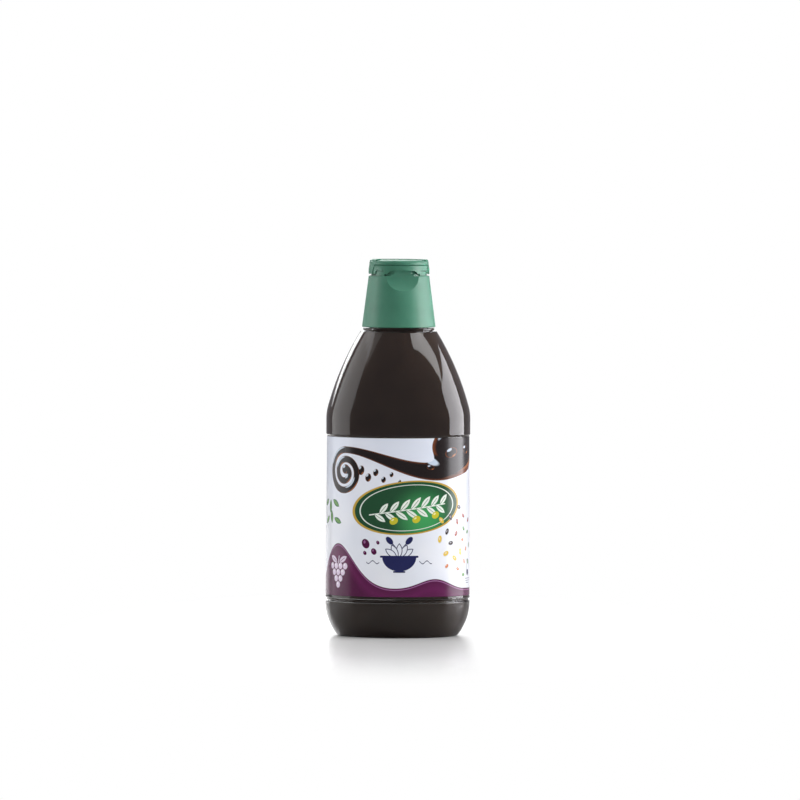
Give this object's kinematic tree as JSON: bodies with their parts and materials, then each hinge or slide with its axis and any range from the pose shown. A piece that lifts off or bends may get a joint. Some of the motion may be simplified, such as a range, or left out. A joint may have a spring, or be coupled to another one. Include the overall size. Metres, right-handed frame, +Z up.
{
  "type": "salad dressing bottle",
  "caption": "Round clear bottle of dark salad dressing with a recessed wrap label and a flip-top cap, standing upright.",
  "frame": {"origin": "centre of the standing ring, on the surface that the bottle stands on", "axes": "+Z up along the bottle's axis, -Y out of the label's front, +X to the label's right as seen from its front"},
  "size_m": [0.09, 0.0901, 0.2349],
  "materials": {
    "bottle": "clear blown polyester, glossy",
    "dressing": "dark brown liquid",
    "label": "printed film, glossy",
    "cap": "moulded polypropylene, satin"
  },
  "bodies": {
    "root": {"bottle": "bottle", "dressing": "dressing", "label": "label", "cap_base": "cap", "flip_lid": "cap"}
  },
  "joints": []
}
